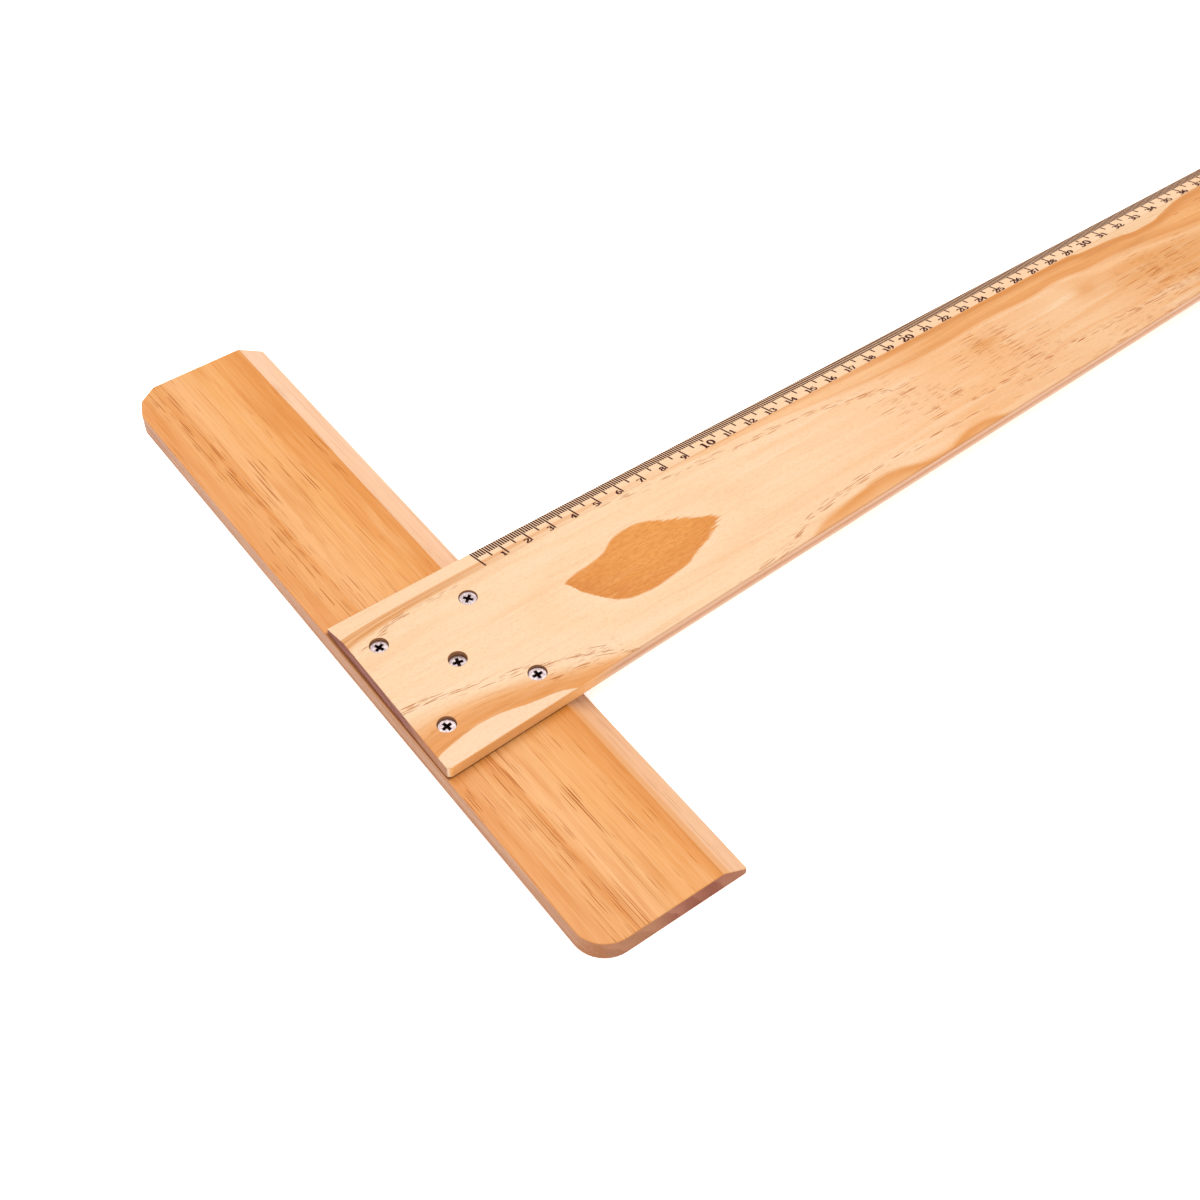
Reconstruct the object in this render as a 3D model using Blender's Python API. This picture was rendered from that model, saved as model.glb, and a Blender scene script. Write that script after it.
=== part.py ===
"""T square: a bevelled wooden head and a tapered wooden blade, joined by five screws.

Metres, +Z up. The origin is the centre of the head's underside. +X runs along
the blade, away from the head, and +Y points towards the blade's drawing edge.
"""

import math

import bmesh
import bpy
from mathutils import Matrix, Vector

# ---------------------------------------------------------------- dimensions
# Gap kept between pieces that touch or are cut by one another.
GAP = 0.0003

# Head: the cross bar that slides along the edge of the drawing board.
HEAD_LENGTH = 0.300
HEAD_WIDTH = 0.058
HEAD_THICKNESS = 0.0085
HEAD_BEVEL_WIDTH = 0.0100
WORKING_EDGE_HEIGHT = 0.0024
HEAD_INNER_RADIUS = 0.0010
# The outer corners are shaped by hand, the near one round and the far one in flats. Each
# point of a corner is given as (inset from the outer side, inset from the end, rounding).
NEAR_CORNER_CUTS = ((0.0000, 0.0000, 0.0115),)
FAR_CORNER_CUTS = ((0.0109, 0.0000, 0.0010), (0.0035, 0.0047, 0.0020), (0.0000, 0.0120, 0.0060))

# Blade: the long rule. Its lower edge tapers, its drawing edge stays square to the head.
DRAWING_EDGE_Y = 0.0040
BLADE_LENGTH = 0.790
BLADE_WIDTH = 0.0755
BLADE_TAPER = 0.043
BLADE_THICKNESS = 0.0052
BLADE_BEVEL_WIDTH = 0.0112
DRAWING_EDGE_HEIGHT = 0.0016
BLADE_END_INSET_LOWER = 0.0003
BLADE_END_INSET_UPPER = 0.0010
BLADE_NEAR_RADIUS = 0.0020
BLADE_UPPER_RADIUS = 0.0006
BLADE_TIP_RADIUS = 0.0030
HANGING_HOLE_RADIUS = 0.0050
HANGING_HOLE_FROM_TIP = 0.0165

# Softened edges on both boards.
EDGE_EASE = 0.0004
EDGE_EASE_ANGLE = math.radians(20)
ARC_STEP = math.radians(9)

# Countersunk wood screw with a cross recess.
SCREW_LENGTH = 0.0100
SCREW_HEAD_RADIUS = 0.0030
SCREW_RIM_HEIGHT = 0.0003
SCREW_CONE_HEIGHT = 0.0014
SCREW_SHANK_RADIUS = 0.0016
SCREW_POINT_HEIGHT = 0.0030
SCREW_POINT_RADIUS = 0.0003
SCREW_SIDES = 40
RECESS_REACH = 0.0018
RECESS_WING = 0.0006
RECESS_DEPTH = 0.0015
RECESS_TAPER = 0.55

# Screws sit at the corners and the middle of a rectangle on the blade's root.
PATTERN_CENTRE = Vector((-0.0012, -0.0358))
PATTERN_HALF_X = 0.0178
PATTERN_HALF_Y = 0.0204
# Side in X and Y (0 is the middle), how far the head is sunk, and the recess's turn in degrees.
SCREWS = {
    "screw_upper_outer": (-1, 1, 0.0012, 24),
    "screw_upper_inner": (1, 1, 0.0006, 38),
    "screw_middle": (0, 0, 0.0018, 75),
    "screw_lower_outer": (-1, -1, 0.0012, 10),
    "screw_lower_inner": (1, -1, 0.0010, 86),
}

# ------------------------------------------------------------ derived places
HALF_WIDTH = HEAD_WIDTH / 2
HALF_LENGTH = HEAD_LENGTH / 2
BLADE_BASE = HEAD_THICKNESS + GAP
BLADE_TOP = BLADE_BASE + BLADE_THICKNESS
BLADE_TIP_X = BLADE_LENGTH - HALF_WIDTH
HANGING_HOLE_X = BLADE_TIP_X - HANGING_HOLE_FROM_TIP


def lower_edge_y(x):
    """The blade's lower edge at a place along it."""
    return DRAWING_EDGE_Y - BLADE_WIDTH + BLADE_TAPER * (x + HALF_WIDTH)


# ------------------------------------------------------------------ materials
def make_material(name, colour, roughness, metallic=0.0):
    """A Principled BSDF material with plain values."""
    material = bpy.data.materials.new(name)
    material.use_nodes = True
    shader = material.node_tree.nodes["Principled BSDF"]
    shader.inputs["Base Color"].default_value = (*colour, 1.0)
    shader.inputs["Roughness"].default_value = roughness
    shader.inputs["Metallic"].default_value = metallic
    material.diffuse_color = (*colour, 1.0)
    return material


# ------------------------------------------------------------- mesh utilities
def filleted_outline(corners):
    """Turn corners (x, y, radius), listed anticlockwise, into points with round arcs."""
    points = []
    count = len(corners)
    for index, (x, y, radius) in enumerate(corners):
        corner = Vector((x, y))
        before = (Vector(corners[index - 1][:2]) - corner).normalized()
        after = (Vector(corners[(index + 1) % count][:2]) - corner).normalized()
        half_angle = before.angle(after) / 2
        bisector = (before + after).normalized()
        centre = corner + bisector * radius / math.sin(half_angle)
        start = corner + before * radius / math.tan(half_angle) - centre
        sweep = math.pi - 2 * half_angle
        steps = max(2, math.ceil(sweep / ARC_STEP))
        for step in range(steps + 1):
            turn = Matrix.Rotation(sweep * step / steps, 2)
            points.append(centre + turn @ start)
    return points


def prism(outline, bottom, top):
    """A closed solid with the outline as its plan."""
    mesh = bmesh.new()
    base = mesh.faces.new([mesh.verts.new((p.x, p.y, bottom)) for p in outline])
    mesh.normal_update()
    if base.normal.z > 0:
        base.normal_flip()
    extruded = bmesh.ops.extrude_face_region(mesh, geom=[base], use_keep_orig=True)
    raised = [item for item in extruded["geom"] if isinstance(item, bmesh.types.BMVert)]
    bmesh.ops.translate(mesh, verts=raised, vec=(0, 0, top - bottom))
    bmesh.ops.recalc_face_normals(mesh, faces=mesh.faces)
    return mesh


def plane_off(mesh, point, normal):
    """Cut away what lies beyond a plane and close the cut with one face."""
    geometry = mesh.verts[:] + mesh.edges[:] + mesh.faces[:]
    cut = bmesh.ops.bisect_plane(
        mesh, geom=geometry, plane_co=point, plane_no=normal, clear_outer=True
    )
    edges = [item for item in cut["geom_cut"] if isinstance(item, bmesh.types.BMEdge)]
    bmesh.ops.contextual_create(mesh, geom=edges)
    bmesh.ops.recalc_face_normals(mesh, faces=mesh.faces)


def bevel_plane(mesh, arris, edge):
    """Plane the sloping face through two points of the board's cross-section."""
    along = Vector((0, 1, 0)) if arris.y == edge.y else Vector((1, 0, 0))
    normal = (edge - arris).cross(along)
    if normal.z < 0:
        normal.negate()
    plane_off(mesh, arris, normal.normalized())


def add_object(name, mesh, material, parent=None):
    """Link a bmesh into the scene as one named object."""
    data = bpy.data.meshes.new(name)
    mesh.to_mesh(data)
    mesh.free()
    item = bpy.data.objects.new(name, data)
    bpy.context.collection.objects.link(item)
    item.parent = parent
    if material:
        data.materials.append(material)
    return item


def ease_edges(item):
    """Soften a board's edges with a narrow rounded bevel."""
    bevel = item.modifiers.new("eased edges", "BEVEL")
    bevel.width = EDGE_EASE
    bevel.segments = 2
    bevel.limit_method = "ANGLE"
    bevel.angle_limit = EDGE_EASE_ANGLE


def cut_with(item, cutter):
    """Subtract a cutter from a board."""
    boolean = item.modifiers.new("cut " + cutter.name, "BOOLEAN")
    boolean.operation = "DIFFERENCE"
    boolean.solver = "EXACT"
    boolean.object = cutter


def hide_cutter(cutter):
    """Mark a cutter as a guide that isn't part of the object."""
    cutter.hide_render = True
    cutter.display_type = "WIRE"


def turned(profile, sides):
    """A closed turned solid. Its profile (radius, z) runs from the top down, from axis to axis."""
    mesh = bmesh.new()
    rings = []
    for radius, z in profile:
        if radius == 0:
            rings.append([mesh.verts.new((0, 0, z))])
            continue
        angles = [2 * math.pi * k / sides for k in range(sides)]
        rings.append([mesh.verts.new((radius * math.cos(a), radius * math.sin(a), z)) for a in angles])
    for upper, lower in zip(rings, rings[1:]):
        for k in range(sides):
            following = (k + 1) % sides
            corners = [upper[k % len(upper)], lower[k % len(lower)]]
            if len(lower) > 1:
                corners.append(lower[following])
            if len(upper) > 1:
                corners.append(upper[following])
            mesh.faces.new(corners)
    bmesh.ops.recalc_face_normals(mesh, faces=mesh.faces)
    return mesh


# ----------------------------------------------------------------- the boards
def make_head(parent, material):
    """The head: outer corners cut back, the inner edge bevelled down to a thin working edge."""
    near = [(-HALF_WIDTH + side, -HALF_LENGTH + end, radius) for side, end, radius in NEAR_CORNER_CUTS]
    far = [(-HALF_WIDTH + side, HALF_LENGTH - end, radius) for side, end, radius in FAR_CORNER_CUTS]
    outline = filleted_outline([
        *near,
        (HALF_WIDTH, -HALF_LENGTH, HEAD_INNER_RADIUS),
        (HALF_WIDTH, HALF_LENGTH, HEAD_INNER_RADIUS),
        *far,
    ])
    mesh = prism(outline, 0, HEAD_THICKNESS)
    arris = Vector((HALF_WIDTH - HEAD_BEVEL_WIDTH, 0, HEAD_THICKNESS))
    edge = Vector((HALF_WIDTH, 0, WORKING_EDGE_HEIGHT))
    bevel_plane(mesh, arris, edge)
    head = add_object("head", mesh, material, parent)
    ease_edges(head)
    return head


def make_blade(parent, material):
    """The blade: tapered plan, square to the head along its bevelled drawing edge."""
    lower_end_x = -HALF_WIDTH + BLADE_END_INSET_LOWER
    upper_end_x = -HALF_WIDTH + BLADE_END_INSET_UPPER
    outline = filleted_outline([
        (lower_end_x, lower_edge_y(lower_end_x), BLADE_NEAR_RADIUS),
        (BLADE_TIP_X, lower_edge_y(BLADE_TIP_X), BLADE_TIP_RADIUS),
        (BLADE_TIP_X, DRAWING_EDGE_Y, BLADE_TIP_RADIUS),
        (upper_end_x, DRAWING_EDGE_Y, BLADE_UPPER_RADIUS),
    ])
    mesh = prism(outline, BLADE_BASE, BLADE_TOP)
    arris = Vector((0, DRAWING_EDGE_Y - BLADE_BEVEL_WIDTH, BLADE_TOP))
    edge = Vector((0, DRAWING_EDGE_Y, BLADE_BASE + DRAWING_EDGE_HEIGHT))
    bevel_plane(mesh, arris, edge)
    blade = add_object("blade", mesh, material, parent)
    ease_edges(blade)
    return blade


def cut_hanging_hole(blade, parent):
    """A round hole near the blade's tip, for hanging the square on a wall."""
    above = BLADE_TOP + GAP
    below = BLADE_BASE - GAP
    profile = [(0, above), (HANGING_HOLE_RADIUS, above), (HANGING_HOLE_RADIUS, below), (0, below)]
    cutter = add_object("hanging_hole_cutter", turned(profile, SCREW_SIDES), None, parent)
    middle_y = (DRAWING_EDGE_Y + lower_edge_y(HANGING_HOLE_X)) / 2
    cutter.location = (HANGING_HOLE_X, middle_y, 0)
    hide_cutter(cutter)
    cut_with(blade, cutter)


# ----------------------------------------------------------------- the screws
def screw_profile(clearance=0.0):
    """Half outline (radius, z) of the screw from its head's top at z = 0 down to its point."""
    rim = -SCREW_RIM_HEIGHT
    cone_end = rim - SCREW_CONE_HEIGHT
    point_start = -SCREW_LENGTH + SCREW_POINT_HEIGHT
    return [
        (SCREW_HEAD_RADIUS + clearance, rim - clearance),
        (SCREW_SHANK_RADIUS + clearance, cone_end - clearance),
        (SCREW_SHANK_RADIUS + clearance, point_start),
        (SCREW_POINT_RADIUS + clearance, -SCREW_LENGTH - clearance),
        (0, -SCREW_LENGTH - clearance),
    ]


def recess_cutter_mesh():
    """A tapered plus-shaped plug: the cross recess as a solid."""
    reach, wing = RECESS_REACH, RECESS_WING
    quarter = [(reach, -wing), (reach, wing), (wing, wing)]
    plan = []
    for turn in range(4):
        rotation = Matrix.Rotation(turn * math.pi / 2, 2)
        plan += [rotation @ Vector(p) for p in quarter]
    mesh = prism(plan, -RECESS_DEPTH, GAP)
    for vert in mesh.verts:
        if vert.co.z < 0:
            vert.co.x *= RECESS_TAPER
            vert.co.y *= RECESS_TAPER
    return mesh


def make_screw(name, parent, material):
    """One countersunk screw, its head's top at its origin."""
    profile = [(0, 0), (SCREW_HEAD_RADIUS, 0)] + screw_profile()
    screw = add_object(name, turned(profile, SCREW_SIDES), material, parent)
    screw.data.shade_smooth()
    screw.data.set_sharp_from_angle(angle=math.radians(30))
    recess = add_object(name + "_recess_cutter", recess_cutter_mesh(), None, screw)
    hide_cutter(recess)
    cut_with(screw, recess)
    return screw


def make_screw_hole(name, parent, sink):
    """The countersunk hole for a sunk screw, open above the blade and blind in the head."""
    mouth = SCREW_HEAD_RADIUS + GAP
    profile = [(0, sink + GAP), (mouth, sink + GAP)] + screw_profile(GAP)
    cutter = add_object(name + "_hole_cutter", turned(profile, SCREW_SIDES), None, parent)
    hide_cutter(cutter)
    return cutter


def fit_screws(head, blade, parent, material):
    """Place each screw and cut its hole through the blade and into the head."""
    for name, (side_x, side_y, sink, turn) in SCREWS.items():
        x = PATTERN_CENTRE.x + side_x * PATTERN_HALF_X
        y = PATTERN_CENTRE.y + side_y * PATTERN_HALF_Y
        place = (x, y, BLADE_TOP - sink)
        screw = make_screw(name, parent, material)
        screw.location = place
        screw.rotation_euler = (0, 0, math.radians(turn))
        cutter = make_screw_hole(name, parent, sink)
        cutter.location = place
        cut_with(blade, cutter)
        cut_with(head, cutter)


def main():
    for item in list(bpy.data.objects):
        bpy.data.objects.remove(item)
    root = bpy.data.objects.new("t_square", None)
    bpy.context.collection.objects.link(root)
    head_wood = make_material("head_wood", (0.82, 0.42, 0.16), 0.35)
    blade_wood = make_material("blade_wood", (0.94, 0.66, 0.38), 0.35)
    screw_steel = make_material("screw_steel", (0.75, 0.72, 0.72), 0.25, 1.0)
    head = make_head(root, head_wood)
    blade = make_blade(root, blade_wood)
    fit_screws(head, blade, root, screw_steel)
    cut_hanging_hole(blade, root)


main()
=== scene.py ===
import math

import bmesh
import bpy
from mathutils import Matrix, Vector
from mathutils.geometry import delaunay_2d_cdt


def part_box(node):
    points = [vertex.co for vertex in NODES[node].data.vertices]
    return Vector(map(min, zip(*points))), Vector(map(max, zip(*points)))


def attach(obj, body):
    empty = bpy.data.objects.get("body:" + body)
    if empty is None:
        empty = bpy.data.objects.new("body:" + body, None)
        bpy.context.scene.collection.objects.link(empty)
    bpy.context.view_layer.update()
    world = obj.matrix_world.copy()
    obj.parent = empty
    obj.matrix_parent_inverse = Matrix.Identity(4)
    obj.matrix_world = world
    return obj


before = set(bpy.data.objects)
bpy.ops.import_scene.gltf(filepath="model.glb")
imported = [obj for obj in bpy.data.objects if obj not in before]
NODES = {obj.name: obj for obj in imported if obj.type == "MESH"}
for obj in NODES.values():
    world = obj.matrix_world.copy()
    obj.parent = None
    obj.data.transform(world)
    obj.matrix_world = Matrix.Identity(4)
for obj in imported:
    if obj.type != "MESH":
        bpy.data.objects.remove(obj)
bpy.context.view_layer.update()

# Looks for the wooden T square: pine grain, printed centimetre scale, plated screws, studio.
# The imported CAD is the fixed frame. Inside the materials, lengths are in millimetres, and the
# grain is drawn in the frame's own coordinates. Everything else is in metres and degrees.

SCREW_NAMES = sorted(name for name in NODES if name.startswith("screw_"))
MM = 1000.0
CM = 100.0

# ----------------------------------------------------------------- the frame's key places
HEAD_LOW, HEAD_HIGH = (Vector(c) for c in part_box("head"))
BLADE_LOW, BLADE_HIGH = (Vector(c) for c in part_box("blade"))
WORKING_EDGE_X = HEAD_HIGH.x

# What tells a board's broad bevel from its other faces.
BEVEL_MIN_UP = 0.8
BEVEL_LEAN = (0.2, 0.6)
BEVEL_MIN_AREA = 1e-5


def bevel_faces(name, axis):
    """The faces of a board's broad bevel, which lean towards +axis (0 for X, 1 for Y)."""
    least, most = BEVEL_LEAN
    return [f for f in NODES[name].data.polygons
            if f.normal.z > BEVEL_MIN_UP and least < f.normal[axis] < most and f.area > BEVEL_MIN_AREA]


def bevel_arris(name, axis):
    """How far along the axis a board's broad bevel begins."""
    mesh = NODES[name].data
    return min(mesh.vertices[v].co[axis] for f in bevel_faces(name, axis) for v in f.vertices)


def lower_line():
    """The blade's tapering lower edge as a line: (slope, its y in millimetres at x = 0)."""
    points = [v.co for v in NODES["blade"].data.vertices]
    length = BLADE_HIGH.x - BLADE_LOW.x
    first = min(p.y for p in points if p.x < BLADE_LOW.x + length / 4)
    near = next(p for p in points if p.y == first)
    far = min((p for p in points if p.x > BLADE_HIGH.x - length / 4), key=lambda p: p.y)
    slope = (far.y - near.y) / (far.x - near.x)
    return slope, (near.y - slope * near.x) * MM


BLADE_TAPER, BLADE_LOWER_AT_ZERO = lower_line()
BLADE_ARRIS = bevel_arris("blade", 1)
HEAD_ARRIS = bevel_arris("head", 0)


# =============================================================== shader helpers
# Light that falls on a level face and on an upright one, as multiples of full white, and the
# part that a wooden surface mirrors whatever its colour.
LEVEL_LIGHT = 1.42
UPRIGHT_LIGHT = 1.38
MIRRORED = 0.062
UPRIGHT_MIRRORED = 0.05


def linear(channel):
    """One screen channel, 0 to 255, as linear light."""
    value = channel / 255
    return value / 12.92 if value <= 0.04045 else ((value + 0.055) / 1.055) ** 2.4


def srgb(red, green, blue):
    """A colour given as it looks on screen, as linear RGBA."""
    return (linear(red), linear(green), linear(blue), 1.0)


def seen(red, green, blue, light=LEVEL_LIGHT, mirrored=MIRRORED):
    """The pigment that looks like this screen colour on a level face under the studio light."""
    pigment = [max(0.0, (linear(channel) - mirrored) / light) for channel in (red, green, blue)]
    return (*pigment, 1.0)


def seen_upright(red, green, blue):
    """The pigment that looks like this screen colour on an upright face."""
    return seen(red, green, blue, UPRIGHT_LIGHT, UPRIGHT_MIRRORED)


class Field:
    """A number or a colour that varies over a surface; arithmetic on it adds shader nodes."""

    def __init__(self, graph, socket):
        self.graph = graph
        self.socket = socket

    def _math(self, operation, other=None, swap=False):
        inputs = [self] if other is None else [self, other]
        return self.graph.math(operation, *(reversed(inputs) if swap else inputs))

    def __add__(self, other):
        return self._math("ADD", other)

    def __sub__(self, other):
        return self._math("SUBTRACT", other)

    def __mul__(self, other):
        return self._math("MULTIPLY", other)

    def __truediv__(self, other):
        return self._math("DIVIDE", other)

    def __rsub__(self, other):
        return self._math("SUBTRACT", other, swap=True)

    __radd__ = __add__
    __rmul__ = __mul__

    def abs(self):
        return self._math("ABSOLUTE")

    def root(self):
        return self._math("SQRT")

    def fraction(self):
        return self._math("FRACT")

    def maximum(self, other):
        return self._math("MAXIMUM", other)

    def minimum(self, other):
        return self._math("MINIMUM", other)

    def ramp(self, low, high, out_low=0.0, out_high=1.0):
        """A smooth step from out_low at low to out_high at high."""
        node = self.graph.node("ShaderNodeMapRange")
        node.interpolation_type = "SMOOTHSTEP"
        node.clamp = True
        self.graph.feed(node.inputs["Value"], self)
        limits = {"From Min": low, "From Max": high, "To Min": out_low, "To Max": out_high}
        for label, value in limits.items():
            node.inputs[label].default_value = value
        return Field(self.graph, node.outputs["Result"])

    def falloff(self, reach):
        """1 where the field is 0, dying away to both sides over the reach."""
        squared = self * self * (-1.0 / (reach * reach))
        return squared._math("EXPONENT")


# The varnish coat's weight, as a part of the gloss.
COAT_SHARE = 0.3


class Graph:
    """One material's node tree."""

    def __init__(self, name, roughness):
        self.material = bpy.data.materials.new(name)
        self.material.use_nodes = True
        self.tree = self.material.node_tree
        self.shader = self.tree.nodes["Principled BSDF"]
        self.shader.inputs["Roughness"].default_value = roughness
        coordinates = self.node("ShaderNodeTexCoord")
        scale = self.node("ShaderNodeVectorMath")
        scale.operation = "SCALE"
        scale.inputs["Scale"].default_value = MM
        self.tree.links.new(coordinates.outputs["Object"], scale.inputs[0])
        split = self.node("ShaderNodeSeparateXYZ")
        self.tree.links.new(scale.outputs["Vector"], split.inputs[0])
        self.x, self.y, self.z = (Field(self, split.outputs[axis]) for axis in "XYZ")
        geometry = self.node("ShaderNodeNewGeometry")
        normal = self.node("ShaderNodeSeparateXYZ")
        self.tree.links.new(geometry.outputs["Normal"], normal.inputs[0])
        self.normal_x, self.normal_y, self.normal_z = (Field(self, normal.outputs[a]) for a in "XYZ")

    def node(self, kind):
        return self.tree.nodes.new(kind)

    def feed(self, socket, value):
        if isinstance(value, Field):
            self.tree.links.new(value.socket, socket)
        else:
            socket.default_value = value

    def math(self, operation, *values):
        node = self.node("ShaderNodeMath")
        node.operation = operation
        for socket, value in zip(node.inputs, values):
            self.feed(socket, value)
        return Field(self, node.outputs[0])

    def texture(self, kind, size, seed, at):
        """A texture node read at a place, in cells of size = (x, y, z) millimetres."""
        place = self.node("ShaderNodeCombineXYZ")
        shifts = (seed, seed, 0.0)
        for socket, field, length, shift in zip(place.inputs, at, size, shifts):
            self.feed(socket, field * (1 / length) + shift)
        node = self.node(kind)
        self.tree.links.new(place.outputs[0], node.inputs["Vector"])
        node.inputs["Scale"].default_value = 1.0
        return node

    def noise(self, size, detail=2.0, seed=0.0, roughness=0.5, at=None):
        """Noise from 0 to 1 whose blobs are about size = (x, y, z) millimetres."""
        node = self.texture("ShaderNodeTexNoise", size, seed, at or (self.x, self.y, self.z))
        node.inputs["Detail"].default_value = detail
        node.inputs["Roughness"].default_value = roughness
        return Field(self, node.outputs["Fac"])

    def cells(self, size, seed, at):
        """Scattered points, one to a cell of size = (x, y, z): (distance to it, its own chance)."""
        node = self.texture("ShaderNodeTexVoronoi", size, seed, at)
        split = self.node("ShaderNodeSeparateColor")
        self.tree.links.new(node.outputs["Color"], split.inputs[0])
        return Field(self, node.outputs["Distance"]), Field(self, split.outputs[0])

    def curve(self, along, points):
        """A smooth curve through (position, value) points in millimetres, read at a field."""
        low, high = points[0][0], points[-1][0]
        bottom = min(value for _, value in points)
        span = max(value for _, value in points) - bottom or 1.0
        node = self.node("ShaderNodeFloatCurve")
        line = node.mapping.curves[0]
        places = [((position - low) / (high - low), (value - bottom) / span)
                  for position, value in points]
        line.points[0].location = places[0]
        line.points[-1].location = places[-1]
        for place in places[1:-1]:
            line.points.new(*place)
        node.mapping.update()
        self.feed(node.inputs["Value"], (along - low) / (high - low))
        return Field(self, node.outputs[0]) * span + bottom

    def mix(self, amount, first, second):
        """Blend two colours by a field from 0 to 1."""
        node = self.node("ShaderNodeMix")
        node.data_type = "RGBA"
        node.clamp_factor = True
        # A mix node has sockets for every data type: 6, 7 and the third output are its colours.
        for socket, value in ((0, amount), (6, first), (7, second)):
            self.feed(node.inputs[socket], value)
        return Field(self, node.outputs[2])

    def colour_bands(self, across, bands):
        """A colour that changes across the board, from (position, colour) bands."""
        low, high = bands[0][0], bands[-1][0]
        node = self.node("ShaderNodeValToRGB")
        self.feed(node.inputs["Fac"], (across - low) / (high - low))
        stops = node.color_ramp.elements
        stops[0].color = bands[0][1]
        stops[-1].color = bands[-1][1]
        for position, colour in bands[1:-1]:
            stops.new((position - low) / (high - low)).color = colour
        return Field(self, node.outputs["Color"])

    def finish(self, colour, bump=None, bump_depth=0.0, roughness=None, gloss=None):
        """Connect the colour, the roughness, the gloss and the bump to the shader."""
        self.feed(self.shader.inputs["Base Color"], colour)
        if gloss is not None:
            self.feed(self.shader.inputs["Specular IOR Level"], gloss)
            self.feed(self.shader.inputs["Coat Weight"], gloss * COAT_SHARE)
        if roughness is not None:
            self.feed(self.shader.inputs["Roughness"], roughness)
        if bump is not None:
            node = self.node("ShaderNodeBump")
            node.inputs["Distance"].default_value = bump_depth / MM
            node.inputs["Strength"].default_value = 1.0
            self.feed(node.inputs["Height"], bump)
            self.tree.links.new(node.outputs["Normal"], self.shader.inputs["Normal"])
        return self.material


# ================================================================ wood pieces
def fibres(g, along, across, depth, seed):
    """Fine long fibres, 0 to 1, running along the board."""
    coarse = g.noise((70, 1.5, 1.5), 3, seed, 0.6, (along, across, depth))
    fine = g.noise((16, 0.38, 0.38), 3, seed + 7, 0.6, (along, across, depth))
    return coarse * 0.45 + fine * 0.55


def resin_dashes(g, along, across, depth, seed, length, width, crowd):
    """Short thin dashes, resin canals cut lengthways. They are commoner where crowd nears 1."""
    from_middle, chance = g.cells((length, width, width), seed, (along, across, depth))
    return from_middle.ramp(0.42, 0.30) * (crowd - chance).ramp(0.0, 0.1)


def distance(dx, dy):
    """How far a place is, given its two offsets."""
    return (dx * dx + dy * dy).root()


def screw_hole_mask(g):
    """1 on the walls of the screw holes."""
    mask = None
    for name in SCREW_NAMES:
        low, high = (Vector(c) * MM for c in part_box(name))
        middle = (low + high) / 2
        radius = (high.x - low.x) / 2
        here = distance(g.x - middle.x, g.y - middle.y).ramp(radius + 0.45, radius + 0.3)
        mask = here if mask is None else mask.maximum(here)
    return mask


def end_grain(g, across, depth, seed, pith, spacing, early, late):
    """Cut ends: faint arcs of growth rings and open pores."""
    wobble = g.noise((6, 6, 6), 2, seed)
    rings = (distance(across - pith[0], depth - pith[1]) / spacing + wobble * 0.6).fraction()
    soft_rings = rings.ramp(0.0, 0.75) * rings.ramp(1.0, 0.9)
    pores = g.noise((0.5, 0.5, 0.5), 3, seed + 2)
    return g.mix(soft_rings * 0.55 + (pores - 0.5) * 1.8 + 0.2, early, late)


def near_line(across, line, above, below):
    """How close a place is to a drawn line: soft above it over one reach, below over another."""
    offset = across - line
    upper = offset.maximum(0.0).falloff(above)
    lower = offset.minimum(0.0).falloff(below)
    return upper * lower


def spot(x, y, centre, reach):
    """A soft oval blot, 1 at its centre."""
    return distance((x - centre[0]) / reach[0], (y - centre[1]) / reach[1]).falloff(0.8)


def finish_wood(g, colour, relief, marks, roughness, coat_roughness):
    """Finish a planed board: duller on its narrow faces and cut ends, and matt in its dashes."""
    gloss = (0.3 - g.cut_end * 0.25 - g.upright * 0.15) * (1.0 - marks * 0.9)
    g.shader.inputs["Coat Roughness"].default_value = coat_roughness
    rough = g.fibre.ramp(0.3, 0.7, *roughness) + g.cut_end * 0.3
    return g.finish(colour, relief, 0.06, rough, gloss)


# ---------------------------------------------------------------- the blade's pine
BUTT = BLADE_LOW.x * MM
TIP = BLADE_HIGH.x * MM


class BladeGraph(Graph):
    """The blade's node tree, with the fields that its layers share."""

    def __init__(self):
        super().__init__("blade_pine", 0.45)
        # The grain's lines wander a little, fray along the fibres, and lean through the board.
        lean = (self.z - BLADE_HIGH.z * MM) * 0.3
        self.wander = (self.noise((34, 9, 9), 2, 3.0) - 0.5) * 1.8 + lean
        self.fray = (self.noise((6, 0.55, 0.55), 3, 9.0) - 0.5) * 1.1
        self.v = self.y + self.wander * 0.5 + self.fray * 0.6
        long_flames = (self.noise((60, 9, 9), 2, 1.0) - 0.5) * 90
        self.flames = long_flames + (self.noise((24, 2.2, 2.2), 2, 4.0) - 0.5) * 34
        self.fibre = fibres(self, self.x, self.y + self.wander, self.z, 21.0)
        self.upright = self.normal_y.abs().ramp(0.7, 0.95)
        self.cut_end = self.normal_x.abs().ramp(0.75, 0.95)


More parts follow.
